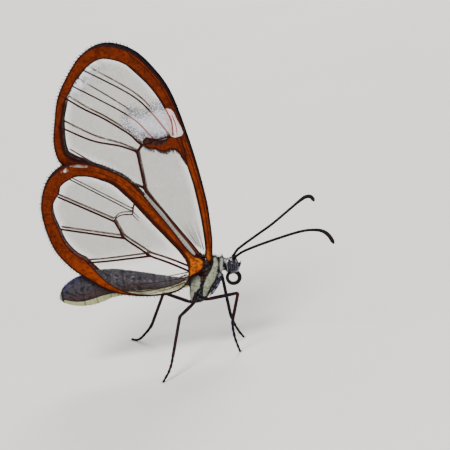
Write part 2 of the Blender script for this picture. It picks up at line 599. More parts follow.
def mesh_from(name, points, faces):
    """A smooth mesh from points of the drawing, its faces turned outwards."""
    mesh = bpy.data.meshes.new(name)
    mesh.from_pydata(place(points).tolist(), [], faces)
    work = bmesh.new()
    work.from_mesh(mesh)
    bmesh.ops.recalc_face_normals(work, faces=work.faces[:])
    work.to_mesh(mesh)
    work.free()
    mesh.shade_smooth()
    return mesh


def set_attribute(mesh, name, values):
    """A number, or a colour as three numbers, on each point of the mesh."""
    values = np.asarray(values, float)
    if values.ndim == 1:
        layer = mesh.attributes.new(name, "FLOAT", "POINT")
        layer.data.foreach_set("value", values.astype(np.float32))
        return
    layer = mesh.color_attributes.new(name, "FLOAT_COLOR", "POINT")
    rgba = np.column_stack([values, np.ones(len(values))])
    layer.data.foreach_set("color", rgba.astype(np.float32).ravel())


# Materials, built from nodes.

class Wire:
    """A number or a colour on its way through the nodes of a material."""

    def __init__(self, shade, socket):
        self.shade = shade
        self.socket = socket

    def __add__(self, other):
        return self.shade.math("ADD", self, other)

    def __sub__(self, other):
        return self.shade.math("SUBTRACT", self, other)

    def __rsub__(self, other):
        return self.shade.math("SUBTRACT", other, self)

    def __mul__(self, other):
        return self.shade.math("MULTIPLY", self, other)

    def most(self, other):
        """The larger of two numbers."""
        return self.shade.math("MAXIMUM", self, other)

    def ramp(self, low, high, start=0.0, end=1.0):
        """Start below low, end above high and a smooth step between them."""
        return self.shade.node("MapRange", 0, {"interpolation_type": "SMOOTHSTEP"}, Value=self,
                               From_Min=low, From_Max=high, To_Min=start, To_Max=end)


class Shader:
    """Short names for the nodes of one material."""

    def __init__(self, name):
        self.material = bpy.data.materials.new(name)
        self.material.use_nodes = True
        self.tree = self.material.node_tree
        self.tree.nodes.clear()
        self.surface = self.tree.nodes.new("ShaderNodeBsdfPrincipled")
        out = self.tree.nodes.new("ShaderNodeOutputMaterial")
        self.tree.links.new(self.surface.outputs[0], out.inputs[0])
        coordinates = self.node("TexCoord", "Object")
        self.millimetres = self.node("VectorMath", 0, {"operation": "SCALE"}, Vector=coordinates,
                                     Scale=1 / MM)

    def join(self, value, socket):
        """Sets a socket to a number or a colour, or links it to a wire."""
        if isinstance(value, Wire):
            self.tree.links.new(value.socket, socket)
        elif hasattr(value, "__len__"):
            socket.default_value = (*value, 1.0)[:len(socket.default_value)]
        else:
            socket.default_value = value

    def node(self, kind, output, settings=(), **sockets):
        """One output of a new node, with its settings made and its sockets joined."""
        made = self.tree.nodes.new("ShaderNode" + kind)
        for key, value in dict(settings).items():
            setattr(made, key, value)
        for key, value in sockets.items():
            self.join(value, made.inputs[key.replace("_", " ")])
        return Wire(self, made.outputs[output])

    def attribute(self, name, output="Fac"):
        return self.node("Attribute", output, {"attribute_name": name})

    def axis(self, letter):
        """X, Y or Z of the drawing."""
        shift = dict(zip("XYZ", (*DRAWING_MIDDLE, 0.0)))[letter]
        return self.node("SeparateXYZ", letter, Vector=self.millimetres) + shift

    def math(self, operation, a, b=0.0):
        made = self.tree.nodes.new("ShaderNodeMath")
        made.operation = operation
        self.join(a, made.inputs[0])
        self.join(b, made.inputs[1])
        return Wire(self, made.outputs[0])

    def mix(self, amount, a, b, blend="MIX"):
        made = self.tree.nodes.new("ShaderNodeMix")
        made.data_type = "RGBA"
        made.blend_type = blend
        for value, socket in ((amount, 0), (a, 6), (b, 7)):
            self.join(value, made.inputs[socket])
        return Wire(self, made.outputs[2])

    def tint(self, colour, by):
        """A colour times a number, or times another colour."""
        return self.mix(1.0, colour, by if hasattr(by, "__len__") else (by, by, by), "MULTIPLY")

    def noise(self, scale, detail=3.0, stretch=None):
        vector = self.millimetres
        if stretch:
            vector = self.node("Mapping", 0, Vector=vector, Scale=stretch)
        return self.node("TexNoise", "Fac", Vector=vector, Scale=scale, Detail=detail)

    def cells(self, scale):
        return self.node("TexVoronoi", "Distance", Vector=self.millimetres, Scale=scale)

    def bump(self, height, strength, distance):
        normal = self.node("Bump", 0, Height=height, Strength=strength, Distance=distance * MM)
        self.join(normal, self.surface.inputs["Normal"])

    def finish(self, colour, roughness, shine, alpha=1.0):
        for key, value in (("Base Color", colour), ("Roughness", roughness),
                           ("Specular IOR Level", shine), ("Alpha", alpha)):
            self.join(value, self.surface.inputs[key])
        return self.material


class WingShader(Shader):
    """One side of a wing, its zones told apart by their distances from the drawn lines."""

    def __init__(self, name, outer, kind):
        super().__init__(name)
        self.outer, self.kind = outer, kind
        self.fine, self.coarse, self.grit = self.noise(9.0, 4.0), self.noise(1.1), self.noise(3.4, 2.0)
        self.jitter = (self.fine - 0.5) * 0.16
        self.window, self.to_bar = self.attribute("window"), self.attribute("bar")
        self.to_vein, self.to_white = self.attribute("vein"), self.attribute("white")
        self.bar = (self.to_bar + self.jitter).ramp(-0.04, 0.06)
        self.solid = (self.window + self.jitter).ramp(-0.02, 0.05, 1.0, 0.0).most(self.bar)
        self.vein = self.to_vein.ramp(-0.008, 0.022, 1.0, 0.0)
        speckle = (self.noise(6.0, 5.0) - 0.5) * (6.0 * kind["soft"])
        self.white = (self.to_white + speckle).ramp(-kind["soft"], kind["soft"])
        self.pale = self.attribute("pale").ramp(-0.04, 0.05) * (0.95 if outer else 0.0)
        self.sparkle = self.noise(6.5, 2.0).ramp(0.58, 0.68) * self.noise(0.55, 2.0).ramp(0.44, 0.62)
        if outer:
            self.ground, self.edge = tone("border"), tone("border_edge")
        else:
            inner = tone("inner_border")
            self.ground = self.mix(self.axis("X").ramp(-8.6, -3.6), kind["inner_tone"], inner)
            self.edge = 0.4 * inner

    def border_colour(self):
        """Mottled border, lighter at the wing's root, darker at its end and along its edges."""
        colour = self.mix(self.coarse.ramp(0.35, 0.68), self.tint(self.ground, 0.60),
                          self.tint(self.ground, 1.35))
        colour = self.mix(self.fine.ramp(0.30, 0.72), colour, self.ground)
        gritty = self.grit.ramp(0.36, 0.56, 0.85, 0.0)
        colour = self.mix(gritty, colour, self.tint(colour, GRIT_TINT))
        if self.outer:
            across, up = self.axis("X") - ROOT_PLATE[0], self.axis("Z") - ROOT_PLATE[1]
            away = self.math("SQRT", across * across + up * up)
            root = self.mix(self.grit.ramp(0.36, 0.62), *ROOT_TONES)
            root = self.mix(self.fine.ramp(0.54, 0.66, 0.0, 0.6), root, ROOT_SPECK)
            colour = self.mix(away.ramp(0.9, 2.6, 0.8, 0.0), colour, root)
            far_off = away.ramp(12.0, 18.5, 0.0, 0.85)
            colour = self.mix(far_off, colour, self.tint(colour, TIP_TINT))
        lining = self.attribute("lining").ramp(0.45, 1.0, 1.0, 0.0)
        margin = self.attribute("rim").ramp(0.10, 0.26, 1.0, 0.0)
        return self.mix(lining.most(margin) * (1.0 - self.bar) * 0.95, colour, self.edge)

    def bar_colour(self):
        """Red-brown below the bar's axis and dark brown above it."""
        colour = self.ground
        if self.outer:
            upper = (self.attribute("bar_height") + self.jitter).ramp(-0.12, 0.22)
            colour = self.mix(upper, self.mix(self.fine.ramp(0.38, 0.60), *BAR_REDS),
                              self.mix(self.grit.ramp(0.42, 0.56), *BAR_BROWNS))
        rim = (self.to_bar + self.jitter).ramp(0.14, 0.34, 1.0, 0.0)
        return self.mix(rim * 0.9, colour, self.edge)

    def clear_colour(self):
        """Membrane with sparks of dust, and the grainy patch with its shade above the bar."""
        clear = tone("membrane")
        colour = self.mix(self.coarse.ramp(0.30, 0.70), 0.72 * clear, clear)
        colour = self.mix(self.sparkle * 0.8, colour, SPARKLE)
        bright = tone(self.kind["patch_tone"])
        grains = (self.to_white.ramp(0.25, 1.1) * 0.70).most(self.noise(5.2).ramp(0.46, 0.58))
        patch = self.mix(grains, self.tint(bright, PATCH_GREY), bright)
        shade = self.to_bar.ramp(-0.95, -0.05, 0.0, 0.95) * self.grit.ramp(0.34, 0.56, 1.0, 0.35)
        return self.mix(self.white, colour, self.mix(shade, patch, PATCH_SHADE))

    def break_colour(self):
        """The pink break of the border and the faint veins across it."""
        pink = self.mix(self.fine.ramp(0.35, 0.65), *BREAK_PINKS)
        if not self.outer:
            pink = self.mix(0.8, pink, FAR_BREAK)
        return self.mix(self.attribute("red_vein").ramp(-0.01, 0.03, 1.0, 0.0), pink, BREAK_VEIN)

    def finished(self):
        core = self.mix(self.to_vein.ramp(-0.19, -0.13, 1.0, 0.0),
                        tone("vein") if self.outer else INNER_VEIN, VEIN_CORE)
        vein_colour = self.mix(self.to_white.ramp(0.0, 0.7), core, PATCH_VEIN)
        colour = self.mix(self.vein, self.clear_colour(), vein_colour)
        colour = self.mix(self.solid, colour, self.mix(self.bar, self.border_colour(), self.bar_colour()))
        colour = self.mix(self.vein * self.solid * 0.6, colour, self.edge)
        broken = (self.attribute("break") + self.jitter).ramp(-0.03, 0.05)
        colour = self.mix(broken * 0.95, colour, self.break_colour())
        colour = self.mix(self.pale, colour, self.kind["pale_tone"])

        height = self.axis("Z")
        dusty = self.axis("X").ramp(-7.6, -5.1, 1.0, 0.0) * height.ramp(32.9, 34.0)
        dusty = dusty * self.window.ramp(0.5, 2.2, 1.0, 0.0) * self.noise(1.4).ramp(0.40, 0.60)
        colour = self.mix(dusty * (1.0 - self.vein.most(self.solid)), colour, DUST)
        clear = height.ramp(12.0, 14.5, 0.08, 1.0)
        alpha = (self.window.ramp(0.0, 1.1, 0.03, CLEAR_ALPHA) + dusty * 0.42) * clear
        alpha = alpha + self.white * 0.55 + self.sparkle * 0.34 * clear.most(0.3)
        alpha = alpha.most(self.vein).most(self.solid).most(self.pale)
        relief = (self.cells(16.0) + self.fine) * self.solid + self.noise(3.5) * 0.25
        self.bump(relief, 0.5, 0.05)
        return self.finish(colour, self.solid.ramp(0.0, 1.0, 0.28, 0.62), WING_SHINE, alpha)


def skin_material():
    """The body under its hair: painted markings, broken up by fine scales."""
    shade = Shader("body_skin")
    paint = shade.attribute("paint", "Color")
    grain = shade.noise(10.0, 5.0, (0.45, 1.0, 1.0))
    colour = shade.mix(grain.ramp(0.36, 0.62), shade.tint(paint, SKIN_SHADE), paint)
    speck = shade.noise(14.0, 2.0).ramp(0.50, 0.66)
    colour = shade.mix(speck * 0.6, colour, shade.tint(paint, SKIN_LIGHT))
    shade.bump(grain + shade.cells(13.0), 0.7, 0.05)
    return shade.finish(colour, grain.ramp(0.3, 0.7, 0.45, 0.75), SKIN_SHINE)


def hair_material(name):
    """Hairs in the colours of the skin, some of them lighter."""
    shade = Shader(name)
    paint = shade.attribute("paint", "Color")
    colour = shade.mix(shade.noise(8.0).ramp(0.35, 0.65), paint, shade.tint(paint, 1.35))
    return shade.finish(colour, 0.45, HAIR_SHINE)


def cuticle_material(name):
    """Smooth dark cuticle of legs, feelers and tongue, with fine scales and a faint tint."""
    ground, tint, roughness, rings = CUTICLE[name]
    shade = Shader(name)
    grain = shade.noise(14.0, 4.0)
    colour = shade.mix(shade.noise(1.6).ramp(0.42, 0.66), ground, tint)
    dust = shade.cells(11.0).ramp(0.0, 0.30, 1.0, 0.0)
    colour = shade.mix(dust * 0.10, colour, CUTICLE_DUST)
    height = grain
    if rings:
        height = grain + shade.math("SINE", shade.attribute("along") * (math.tau / rings)) * 0.7
    shade.bump(height, 0.6, 0.03)
    return shade.finish(colour, grain.ramp(0.3, 0.7, roughness, roughness + 0.2), CUTICLE_SHINE)


def palp_material():
    """White scales up to the palp's dark tip."""
    shade = Shader("palp")
    grain = shade.noise(9.0)
    white = shade.mix(grain.ramp(0.40, 0.56), *PALP_WHITES)
    tip = (shade.attribute("along") + grain * 0.2).ramp(0.80, 0.95)
    shade.bump(grain, 0.6, 0.03)
    return shade.finish(shade.mix(tip, white, tone("dark")), 0.5, CUTICLE_SHINE)


def eye_material():
    """Dark compound eye with pale upright stripes and fine facets."""
    shade = Shader("compound_eye")
    across, height = shade.axis("X") - EYE[0][0], shade.axis("Z") - EYE[0][2]
    wave = across + height * height * 0.22 - height * 0.12
    stripe = shade.math("SINE", wave * (math.tau / EYE_STRIPE))
    stripe = (stripe + shade.noise(9.0, 2.0)).ramp(0.60, 1.40)
    uneven = shade.noise(2.2, 2.0).ramp(0.38, 0.60, 0.30, 1.0)
    colour = shade.mix(stripe * uneven, tone("eye"), EYE_BAND)
    colour = shade.mix(height.ramp(-0.66, -0.30, 0.55, 0.0), colour, EYE_LOWER)
    facets = shade.cells(24.0)
    colour = shade.mix(facets.ramp(0.25, 0.6, 0.0, 0.35), colour, EYE_FACET)
    shade.bump(facets, 0.35, 0.02)
    return shade.finish(colour, 0.24, EYE_SHINE)


# Wings.

def vein_lines(veins, sweep):
    """Each vein as points, with its half widths at the two ends."""
    return [(spline(swept(route, sweep), VEIN_LINE_STEP), start, end)
            for route, start, end in veins.values()]


def smooth_loop(loop, sweep, step=RIM_STEP):
    """A drawn loop made smooth and turned with its wing."""
    return spline(swept(loop, sweep), step, closed=True)


def free_points(rim, lines):
    """Loose points on both sides of each vein and in a grid over the rest of the wing."""
    clouds = []
    for line, start, end in lines:
        along = np.gradient(line, axis=0)
        across = np.column_stack([-along[:, 1], along[:, 0]])
        across /= np.linalg.norm(across, axis=1)[:, None]
        width = np.linspace(start, end, len(line))[:, None]
        for reach in (-2.2, -1.0, 1.0, 2.2):
            clouds.append((line + across * width * reach, abs(reach) * min(start, end)))
    low, high = rim.min(0), rim.max(0)
    columns = np.arange(low[0], high[0], OPEN_STEP)
    rows = np.arange(low[1], high[1], OPEN_STEP * 0.866)
    grid = [(x + 0.5 * OPEN_STEP * (k % 2), z) for k, z in enumerate(rows) for x in columns]
    clouds.append((np.array(grid), 0.30))
    found = []
    for cloud, clear in clouds:
        keep = inside(cloud, rim) & (line_distance(cloud, closed_line(rim))[0] > RIM_CLEAR)
        for line, _, _ in lines:
            keep[keep] = line_distance(cloud[keep], line)[0] > VEIN_CLEAR * clear
        found.append(cloud[keep])
    return found


def wing_layout(rim, inner, lines, loops):
    """Points and edges that the wing's triangles pass through."""
    routes = [(rim, True), (inner, True)] + [(line, False) for line, _, _ in lines]
    routes += [(loop, True) for loop in loops]
    edges, count = [], 0
    for route, closed in routes:
        length = len(route)
        edges += [(count + k, count + (k + 1) % length) for k in range(length if closed else length - 1)]
        count += length
    return np.vstack([route for route, _ in routes] + free_points(rim, lines)), edges


def vein_distance(flat, lines):
    """Distance of each point from the edge of the nearest vein, below zero inside one."""
    nearest = np.full(len(flat), FAR)
    for line, start, end in lines:
        away, along = line_distance(flat, line)
        nearest = np.minimum(nearest, away - (start + (end - start) * along))
    return nearest


def wing_masks(flat, sweep, rim, inner, lines, kind):
    """Distances, in millimetres, from which the material tells the wing's zones apart."""
    window = signed_distance(flat, inner)
    none = np.full(len(flat), -FAR)
    masks = {
        "vein": vein_distance(flat, lines), "red_vein": -none, "window": window,
        "rim": line_distance(flat, closed_line(rim))[0], "bar": none, "bar_height": none,
        "break": none, "pale": none, "lining": -window / kind["lining"](flat),
        "white": signed_distance(flat, smooth_loop(kind["patch"], sweep)),
    }
    if "bar" in kind:
        for key in ("bar", "break"):
            masks[key] = signed_distance(flat, smooth_loop(kind[key], sweep))
        height = flat[:, 1] - np.interp(flat[:, 0], *swept(BAR_AXIS, sweep).T)
        masks["bar_height"] = height - above(flat[:, 0], -0.4, 0.7)
        masks["red_vein"] = vein_distance(flat, vein_lines(BREAK_VEINS, sweep))
    for loop in kind["pale"]:
        masks["pale"] = np.maximum(masks["pale"], signed_distance(flat, swept(loop, sweep)))
    return masks


def wing_solid(flat, triangles, half, plane, side):
    """Points and faces of a thin closed sheet: outer side, inner side, then its edge."""
    points = []
    for face in (1, -1):
        away = side * (plane(flat[:, 0], flat[:, 1]) + face * half)
        points.append(np.column_stack([flat[:, 0], away, flat[:, 1]]))
    count = len(flat)
    faces = [tuple(item) for item in triangles]
    faces += [tuple(count + k for k in reversed(item)) for item in triangles]
    used = {(a, b) for item in triangles for a, b in zip(item, item[1:] + item[:1])}
    faces += [(b, a, count + a, count + b) for a, b in used if (b, a) not in used]
    return np.vstack(points), faces


def make_wing(name, kind, side, sweep):
    """One wing as a thin closed sheet, its outer and inner side in materials of their own."""
    rim, inner = smooth_loop(kind["outline"], sweep), smooth_loop(kind["window"], sweep)
    lines = vein_lines({**kind["veins"], **kind["extra"]}, sweep)
    loops = [kind[key] for key in ("bar", "break") if key in kind] + list(kind["pale"])
    loops = [smooth_loop(loop, sweep, 0.6 * RIM_STEP) for loop in loops]
    points, edges = wing_layout(rim, inner, lines, loops)
    flat, _, triangles, _, _, _ = delaunay_2d_cdt(
        [Vector(point) for point in points], edges, [list(range(len(rim)))], 1, 0.004)
    flat = np.array([tuple(point) for point in flat])
    masks = wing_masks(flat, sweep, rim, inner, lines[:len(kind["veins"])], kind)
    half = 0.5 * sizes().membrane / MM + np.maximum(0.0, -masks["vein"]) * 0.8
    half += 0.02 * below(masks["window"], 0.0, 0.2)
    mesh = mesh_from(name, *wing_solid(flat, triangles, half, kind["surface"], side))
    for key, values in masks.items():
        set_attribute(mesh, key, np.concatenate([values, values]))
    slots = np.zeros(len(mesh.polygons), np.int32)
    slots[len(triangles):2 * len(triangles)] = 1
    mesh.polygons.foreach_set("material_index", slots)
    materials = [WingShader(name + "_outer", True, kind).finished(),
                 WingShader(name + "_inner", False, kind).finished()]
    link(name + "_veined", mesh, materials, "wing", name)


def fore_lining(flat):
    """Width of the dark line inside the forewing's border, wide at its outer end."""
    x, z = flat.T
    outer = below(x, -10.2, 0.7) * below(z, 34.0, 0.7)
    ends = np.exp(-((z - 33.1) / 0.5) ** 2) + np.exp(-((z - 30.6) / 0.6) ** 2)
    return LINING + outer * (0.14 + 0.20 * ends + 0.20 * below(z, 31.2, 1.5))


def hind_lining(flat):
    """Width of the dark line inside the hindwing's border, wide along the costa."""
    x, z = flat.T
    return LINING + 0.48 * above(x, -9.5, 2.5) * above(z, 10.5, 1.5)


FORE_KIND = {
    "outline": FOREWING, "window": FORE_WINDOW, "veins": FORE_VEINS, "extra": BREAK_VEINS,
    "surface": fore_surface, "bar": CELL_BAR, "break": BORDER_BREAK, "patch": WHITE_PATCH,
    "patch_tone": "patch", "pale": (FORE_STREAK,), "pale_tone": (0.36, 0.34, 0.31),
    "inner_tone": (0.055, 0.011, 0.007), "soft": 0.55, "lining": fore_lining,
}
LEFT_FORE_KIND = {**FORE_KIND, "veins": {**FORE_VEINS, **LEFT_FORE_VEINS}}
HIND_KIND = {
    "outline": HINDWING, "window": HIND_WINDOW, "veins": HIND_VEINS, "extra": {},
    "surface": hind_surface, "patch": ANAL_FOLD, "patch_tone": "cream",
    "pale": HIND_PALE_SPOTS, "pale_tone": (0.50, 0.55, 0.50),
    "inner_tone": (0.140, 0.018, 0.022), "soft": 0.16, "lining": hind_lining,
}
WINGS = (
    ("forewing_right", FORE_KIND, -1, RIGHT), ("forewing_left", LEFT_FORE_KIND, 1, LEFT_FORE),
    ("hindwing_right", HIND_KIND, -1, RIGHT), ("hindwing_left", HIND_KIND, 1, LEFT_HIND),
)


class BUTTERFLY_OT_wings(bpy.types.Operator):
    """Make the four clear wings with their veins, borders, bar and patch"""

    bl_idname = "butterfly.wings"
    bl_label = "Wings"

    def execute(self, context):
        for wing in WINGS:
            make_wing(*wing)
        return {"FINISHED"}


# Body skin.

def full_turn(around):
    """Evenly spaced angles round a ring."""
    return np.linspace(0, math.tau, around, endpoint=False)


def joined_rings(rings, first_tip, last_tip):
    """Points and faces over a row of rings, each end closed onto a point of its own."""
    around = len(rings[0])
    points = np.vstack(list(rings) + [first_tip, last_tip])
    last = len(points) - 1
    faces = []
    for low in range(0, last - 1 - around, around):
        for k in range(around):
            after = (k + 1) % around
            faces.append((low + k, low + after, low + after + around, low + k + around))
    top = last - 1 - around
    for k in range(around):
        after = (k + 1) % around
        faces.append((after, k, last - 1))
        faces.append((top + k, top + after, last))
    return points, faces


def capped(rings, length):
    """Rings closed onto points that stand out by a length at both ends."""
    first, second, before, last = (rings[k].mean(0) for k in (0, 1, -2, -1))
    start = first + (first - second) / np.linalg.norm(first - second) * length
    end = last + (last - before) / np.linalg.norm(last - before) * length
    return joined_rings(rings, start, end)


def level_rings(levels, inset):
    """Smoothed copies of the solids' leaning levels, drawn in by the inset."""
    rings, turn = [], full_turn(32)
    for x, z, length, width, lean in spline(levels, 0.28):
        lean = math.radians(lean)
        forward = max(length - inset, 0.04) * np.cos(turn)
        across = max(width - inset, 0.04) * np.sin(turn)
        rings.append(np.column_stack([x + forward * math.cos(lean), across,
                                      z - forward * math.sin(lean)]))
    return rings


def abdomen_rings(inset):
    """Rings of the abdomen, with a groove between its segments."""
    rings, turn = [], full_turn(36)
    stations = spline(ABDOMEN, 0.16)
    along = np.gradient(stations[:, :2], axis=0)
    along /= np.linalg.norm(along, axis=1)[:, None]
    for (x, z, tall, wide), (ax, az) in zip(stations, along):
        groove = min(abs(x - segment) for segment in ABDOMEN_SEGMENTS)
        draw = inset + 0.055 * math.exp(-(groove / 0.10) ** 2)
        up = (tall - draw) * np.cos(turn)
        rings.append(np.column_stack([x + az * up, (wide - draw) * np.sin(turn), z - ax * up]))
    return rings


def ball(middle, half, lean=0.0, around=32, rows=18):
    """A ball stretched to three half sizes and leaned forward or back."""
    rings, turn = [], full_turn(around)
    for polar in math.pi * np.arange(1, rows) / rows:
        x = half[0] * math.sin(polar) * np.cos(turn)
        z = np.full(around, -half[2] * math.cos(polar))
        rings.append(np.column_stack([
            middle[0] + x * math.cos(lean) + z * math.sin(lean),
            middle[1] + half[1] * math.sin(polar) * np.sin(turn),
            middle[2] - x * math.sin(lean) + z * math.cos(lean)]))
    pole = np.array((half[2] * math.sin(lean), 0.0, half[2] * math.cos(lean)))
    return joined_rings(rings, middle - pole, middle + pole)


def blend(base, colour, amount):
    """One or many base colours turned into another one by an amount at each point."""
    return base + (colour - base) * np.clip(amount, 0, 1)[:, None]


def near(level, width):
    """1 within half a width of level zero and none past one and a half."""
    return smoothstep(1.5 - np.abs(level) / width)


def patch(points, loop, soft=0.12):
    """1 inside a marking drawn from the side and none outside it."""
    loop = spline(loop, 0.15, closed=True)
    return smoothstep(0.5 + signed_distance(points[:, [0, 2]], loop) / soft)


def flecks(points, pitch, phase):
    """Uneven flecks, 1 inside and none between them."""
    x, y, z = points.T
    wave = np.sin(x * pitch + 3.1 * np.sin(z * pitch * 0.83 + phase))
    wave *= np.sin(z * pitch * 1.21 + 2.7 * np.sin(y * pitch * 0.9 + x * pitch * 0.7 + phase))
    return above(wave, 0.35, 0.3)


def abdomen_paint(points):
    """Slate over maroon, dark rings between the segments and a cream belly."""
    slate, maroon, dark = tone("slate"), tone("maroon"), tone("dark")
    x, y, z = points.T
    stations = np.array(ABDOMEN[::-1]).T
    level = (z - np.interp(x, stations[0], stations[1])) / np.interp(x, stations[0], stations[2])
    found = blend(slate, maroon, below(level, 0.22, 0.35) * below(x, -2.5, 5.0))
    upper = near(level - 0.42, 0.14) * above(x, -11.4, 0.3)
    found = blend(found, PAINT["mauve"], 0.9 * flecks(points, 3.2, 0.4) * upper)
    back = above(level, 0.70, 0.22) * below(x, -12.6, 0.6)
    found = blend(found, slate * (0.9, 0.9, 2.0), back)
    found = blend(found, slate * 0.22, 0.85 * flecks(points, 3.6, 1.7))
    frosted = flecks(points, 4.4, 0.2) * smoothstep(level + 0.7)
    found = blend(found, PAINT["frost"], 0.50 * frosted)
    ring = np.min([np.abs(x - item + 0.10) for item in ABDOMEN_SEGMENTS], axis=0)
    found = blend(found, slate * 0.45, 0.7 * near(ring, 0.09))
    stripe = np.interp(x, *np.transpose(BELLY_LINE))
    seen = z - LOOK_DOWN * np.abs(y)
    belly = smoothstep((stripe - seen) / 0.07 + 0.5) * above(x, -15.9, 0.15)
    found = blend(found, maroon * 0.3, near(seen - stripe - 0.06, 0.10))
    found = blend(found, tone("cream"), belly)
    found = blend(found, dark, 0.8 * belly * near(ring, 0.045))
    found = blend(found, dark * 2, below(x, -15.62, 0.25) * (1 - belly))
    return blend(found, PAINT["tail"], below(x, -16.02, 0.08))


def thorax_paint(points):
    """Dark and flecked, with pale lobes on the flank."""
    pale = tone("pale")
    x, y, z = points.T
    flank = above(np.abs(y), 0.20, 0.2)
    found = blend(tone("dark"), PAINT["rust"], above(z, 8.9, 0.3) * below(x, 2.0, 0.3))
    fine = flecks(points, 10.0, 0.9) * flecks(points, 6.3, 2.0)
    found = blend(found, PAINT["fleck"], 0.8 * fine)
    for loop in (MIDDLE_LOBE, REAR_LOBE):
        found = blend(found, pale, patch(points, loop) * flank)
    found = blend(found, pale * 0.25, 0.60 * flecks(points, 5.0, 2.3))
    back = near(x - 1.35, 0.22) * near(z - 10.75, 0.5) * flecks(points, 7.0, 1.0)
    found = blend(found, PAINT["back"], 0.85 * back)
    found = blend(found, pale * 1.25, patch(points, SHOULDER) * flank)
    return blend(found, PAINT["band"], patch(points, FRONT_BAND, 0.10) * flank)


def collar_paint(points):
    """Dark, with a grey band and a pale patch on the flank."""
    flank = above(np.abs(points[:, 1]), 0.20, 0.2)
    found = blend(tone("dark"), PAINT["band"], patch(points, FRONT_BAND, 0.10) * flank)
    return blend(found, PAINT["collar"], patch(points, COLLAR_PATCH, 0.10) * flank)


def head_paint(points):
    """Dark, with white spots on top and white scales behind and below the eyes."""
    x, y, z = points.T
    side = np.abs(y)
    found = tone("dark")
    for spot_x, spot_y, size in HEAD_SPOTS:
        away = np.hypot(x - spot_x, side - spot_y)
        found = blend(found, PAINT["spot"], below(away, size, 0.05) * above(z, 10.15, 0.1))
    behind = near(x - 3.96 + 0.14 * (z - 10.1) ** 2, 0.035) * above(side, 0.34, 0.1)
    behind = behind * below(z, 10.7, 0.1) * above(z, 9.4, 0.1)
    found = blend(found, np.array(PAINT["spot"]) * 0.6, behind)
    found = blend(found, PAINT["chin"], below(z, 9.36, 0.2) * above(x, 4.3, 0.3))
    return blend(found, PAINT["face"], above(x, 5.05, 0.1) * below(z, 10.2, 0.2))


def body_paint(points):
    """Colour of the body at each point of the drawing; skin and hair share it."""
    x, _, z = points.T
    edge = x + 0.35 * smoothstep(z - 8.6)
    found = blend(abdomen_paint(points), thorax_paint(points), above(edge, -1.02, 0.18))
    found = blend(found, collar_paint(points), above(x + 0.02 * (z - 10.3), 3.02, 0.08))
    return blend(found, head_paint(points), above(x, 3.72, 0.10))


def body_core():
    """Closed shapes of the body, not yet joined, as points and faces."""
    head_half = [size - 0.5 * SKIN_INSET for size in HEAD[1]]
    shapes = [capped(level_rings(THORAX, SKIN_INSET), 0.08),
              capped(level_rings(COLLAR, 0.02), 0.04),
              capped(abdomen_rings(SKIN_INSET), 0.10),
              ball(HEAD[0], head_half, HEAD_LEAN)]
    shapes += [ball(*form) for form in MIDDLE_FORMS]
    for side in (-1, 1):
        shapes += [ball(*on_side([middle], side), half, lean) for middle, half, lean in SIDE_FORMS]
    points, faces, count = [], [], 0
    for shape_points, shape_faces in shapes:
        points.append(shape_points)
        faces += [tuple(count + k for k in face) for face in shape_faces]
        count += len(shape_points)
    return np.vstack(points), faces


class BUTTERFLY_OT_body(bpy.types.Operator):
    """Make one skin over head, collar, thorax and abdomen"""

    bl_idname = "butterfly.body"
    bl_label = "Body skin"

    def execute(self, context):
        rough = bpy.data.objects.new("body_core", mesh_from("body_core", *body_core()))
        context.scene.collection.objects.link(rough)
        remesh = rough.modifiers.new("fuse", "REMESH")
        remesh.mode = "VOXEL"
        remesh.voxel_size = SKIN_VOXEL * MM
        remesh.adaptivity = 0.0
        soften = rough.modifiers.new("soften", "SMOOTH")
        soften.factor = 0.5
        soften.iterations = 2
        graph = context.evaluated_depsgraph_get()
        mesh = bpy.data.meshes.new_from_object(rough.evaluated_get(graph), depsgraph=graph)
        bpy.data.objects.remove(rough, do_unlink=True)
        mesh.name = "body_skin"
        mesh.shade_smooth()
        set_attribute(mesh, "paint", body_paint(drawn(mesh)))
        link("body_skin", mesh, [skin_material()], "thorax",
             "head", "prothorax", "thorax", "abdomen")
        return {"FINISHED"}


class BUTTERFLY_OT_eyes(bpy.types.Operator):
    """Make the two striped compound eyes"""

    bl_idname = "butterfly.eyes"
    bl_label = "Eyes"

    def execute(self, context):
        material = eye_material()
        (x, y, z), (long, wide, tall) = EYE
        for name, side in SIDES:
            shape = ball((x, side * (y - 0.06), z), (long, wide + 0.04, tall), 0.0, 48, 28)
            mesh = mesh_from("eye_" + name, *shape)
            link("eye_" + name + "_facets", mesh, [material], "eye", "eye_" + name)
        return {"FINISHED"}


# Tubes: feelers, tongue, palps and legs.

def tube_mesh(name, route, radii, around=12):
    """A closed tube, its rings turned as little as possible from one to the next."""
    side = Vector((0, 1, 0))
    turn = full_turn(around)[:, None]
    rings = []
    for k, middle in enumerate(route):
        along = Vector(route[min(k + 1, len(route) - 1)] - route[max(k - 1, 0)]).normalized()
        side = (side - along * side.dot(along)).normalized()
        other = np.array(along.cross(side))
        rings.append(middle + (np.cos(turn) * np.array(side) + np.sin(turn) * other) * radii[k])
    mesh = mesh_from(name, *capped(rings, 0.5 * min(radii[0], radii[-1])))
    steps = lengths_along(route)
    set_attribute(mesh, "along", np.concatenate([np.repeat(steps, around), steps[[0, -1]]]))
    return mesh


def merged(name, meshes):
    """One mesh out of several."""
    work = bmesh.new()
    for item in meshes:
        work.from_mesh(item)
    mesh = bpy.data.meshes.new(name)
    work.to_mesh(mesh)
    work.free()
    mesh.shade_smooth()
    return mesh


